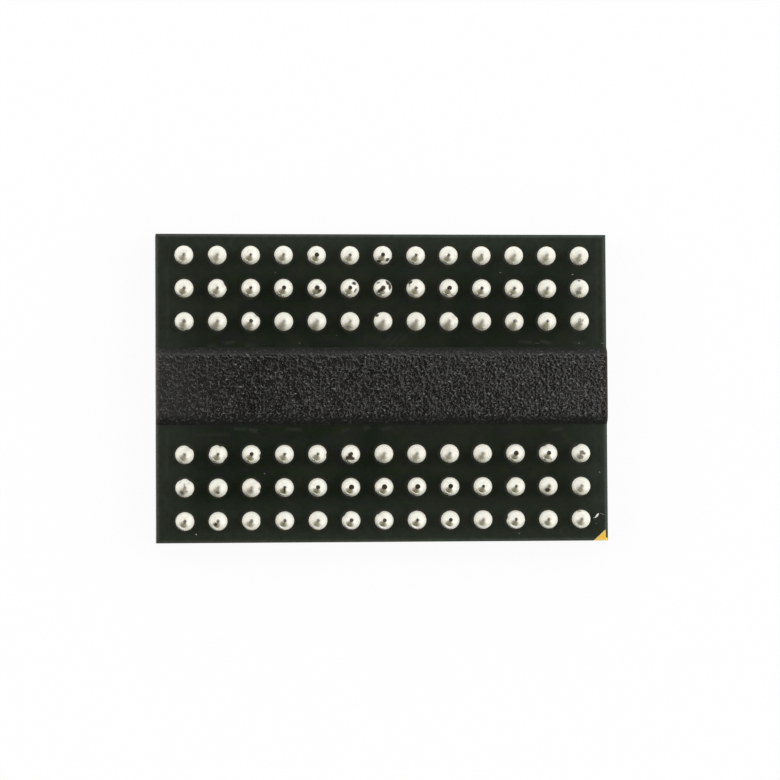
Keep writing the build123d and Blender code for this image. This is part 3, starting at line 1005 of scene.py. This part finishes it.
def make_mark(surface):
    """Gold index mark at the corner, softly domed, with a film of mask along its outer side."""
    corners = [Vector((*corner, 0.0)) for corner in mark_corners]
    dome_height = 0.006
    rim_drop = 0.003
    ripple_height = 0.0008
    steps = 24
    vertices = []
    middle = []
    index_of = {}
    for first in range(steps + 1):
        for second in range(steps + 1 - first):
            weights = (first / steps, second / steps, 1 - (first + second) / steps)
            place = sum((corner * weight for corner, weight in zip(corners, weights)), Vector())
            inner = min(weights) * 3
            dome = dome_height * smoothstep(inner, 0.0, 0.35) - rim_drop
            ripple = ripple_height * noise.noise(place * 18.0)
            index_of[(first, second)] = len(vertices)
            vertices.append((place.x, place.y, copper_top + float(dome) + ripple))
            middle.append(float(smoothstep(inner, 0.15, 0.75)))
    faces = []
    for first in range(steps):
        for second in range(steps - first):
            near = index_of[(first, second)]
            right = index_of[(first + 1, second)]
            left = index_of[(first, second + 1)]
            faces.append([near, right, left])
            if second < steps - first - 1:
                faces.append([right, index_of[(first + 1, second + 1)], left])
    rim = [index_of[(steps - step, step)] for step in range(steps)]
    rim += [index_of[(0, steps - step)] for step in range(steps)]
    rim += [index_of[(step, 0)] for step in range(steps)]
    below = [len(vertices) + step for step in range(len(rim))]
    vertices += [(vertices[index][0], vertices[index][1], core_top) for index in rim]
    middle += [0.0] * len(rim)
    faces += wall(below, rim) + [below[::-1]]
    mark = link_object("index_mark", vertices, faces, [surface])
    x, y, _ = np.array(vertices).T
    film = smoothstep(x, 5.414, 5.428) * smoothstep(y, -3.665, -3.635)
    place_piece(mark, ["pin_one_mark"], "gold_plate", middle=middle, film=film)


# Dust on the mask, by pixel of the photograph: place, half length, half width, turn, paleness
dust_specks = [
    (275.4, 272.6, 0.9, 0.7, 20, 0.04), (299.7, 343.2, 0.9, 0.7, 0, 0.03), (336.7, 335.3, 0.7, 0.5, 0, 0.06),
    (500.3, 272.7, 0.9, 0.6, 30, 0.09), (572.5, 274.5, 0.9, 0.6, 20, 0.22), (579.0, 343.2, 1.0, 0.6, 0, 0.09),
    (602.6, 343.3, 1.9, 0.5, 0, 0.06), (196.1, 534.4, 0.8, 0.7, 0, 0.36), (264.5, 473.5, 0.7, 0.6, 0, 0.09),
    (599.5, 472.3, 0.7, 0.8, 0, 0.14), (596.2, 523.6, 0.9, 0.7, 0, 0.07), (519.3, 533.6, 0.7, 0.5, 0, 0.15),
    (511.0, 538.8, 0.7, 0.5, 0, 0.03), (551.2, 495.6, 0.6, 0.5, 0, 0.01), (537.5, 343.2, 3.0, 0.4, 2, 0.02),
    (596.9, 515.6, 3.3, 1.05, 47, 1.0), (602.5, 514.1, 3.3, 0.45, -19, 0.12),
    (594.6, 517.6, 1.9, 0.50, 8, 0.30),
]


def make_dust(surface):
    """Dust specks and the pale fleck by the index mark, lying on the mask."""
    dice = random.Random(5)
    turns = 12
    raggedness = 0.18
    foot = mask_top - 0.004
    rings = ((1.0, 0.0), (0.92, 0.5), (0.6, 0.9))
    vertices = []
    faces = []
    pale = []
    for pixel_x, pixel_y, long_half, wide_half, turn, paleness in dust_specks:
        centre = point_on_plane(pixel_x, pixel_y, mask_top)
        angle = math.radians(turn)
        first = len(vertices)
        long_mm = long_half / pixels_per_mm
        wide_mm = wide_half / pixels_per_mm
        height = min(long_mm, wide_mm) * 0.7
        for share, lift in rings:
            for step in range(turns):
                around = 2 * math.pi * step / turns
                jag = 1.0 + dice.uniform(-raggedness, raggedness)
                right = long_mm * share * jag * math.cos(around)
                up = wide_mm * share * jag * math.sin(around)
                vertices.append((
                    centre.x + right * math.cos(angle) - up * math.sin(angle),
                    centre.y + right * math.sin(angle) + up * math.cos(angle),
                    foot + height * lift,
                ))
        vertices.append((centre.x, centre.y, foot + height))
        faces += stack(first, len(rings), turns)
        pale += [paleness] * (len(vertices) - first)
    dust = link_object("dust", vertices, faces, [surface])
    place_piece(dust, pale=pale)


def dress_nodes():
    """Materials of the solids that are seen as they are."""
    finishes = {
        "laminate_core": laminate_surface(),
        "solder_mask_die_side": mask_surface("die_side_mask"),
        "memory_die": silicon_surface(),
    }
    tape = two_tone_surface("die_tape", 0.35, 0.0, (5.0, 3.0), (0.20, 0.095, 0.02), (0.33, 0.17, 0.04), 0.002)
    etched = (0.90, 0.56, 0.12), (0.78, 0.44, 0.12)
    copper = two_tone_surface("etched_copper", 0.4, 1.0, (30.0, 3.0), *etched, 0.002)
    drawn = (1.0, 2.0, 0.5, (60.0, 4.0, 60.0))
    wire = two_tone_surface("gold_wire", 0.25, 1.0, drawn, (0.95, 0.60, 0.14), (0.85, 0.50, 0.10), 0.001)
    for side in ("front", "back"):
        finishes["die_tape_" + side] = tape
        finishes["copper_nets_" + side] = copper
        finishes["bond_wires_" + side] = wire
    for name, surface in finishes.items():
        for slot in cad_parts[name].material_slots:
            slot.link = "OBJECT"
            slot.material = surface.material


bpy.context.scene.view_settings.view_transform = "Standard"
make_camera()
make_world()
make_lamps()
make_floor()
make_mask(ball_side_mask_surface())
make_mould(strip_surface(), sawn_surface(), label_surface())
make_balls(solder_surface())
make_mark(gold_surface())
make_dust(dust_surface())
dress_nodes()
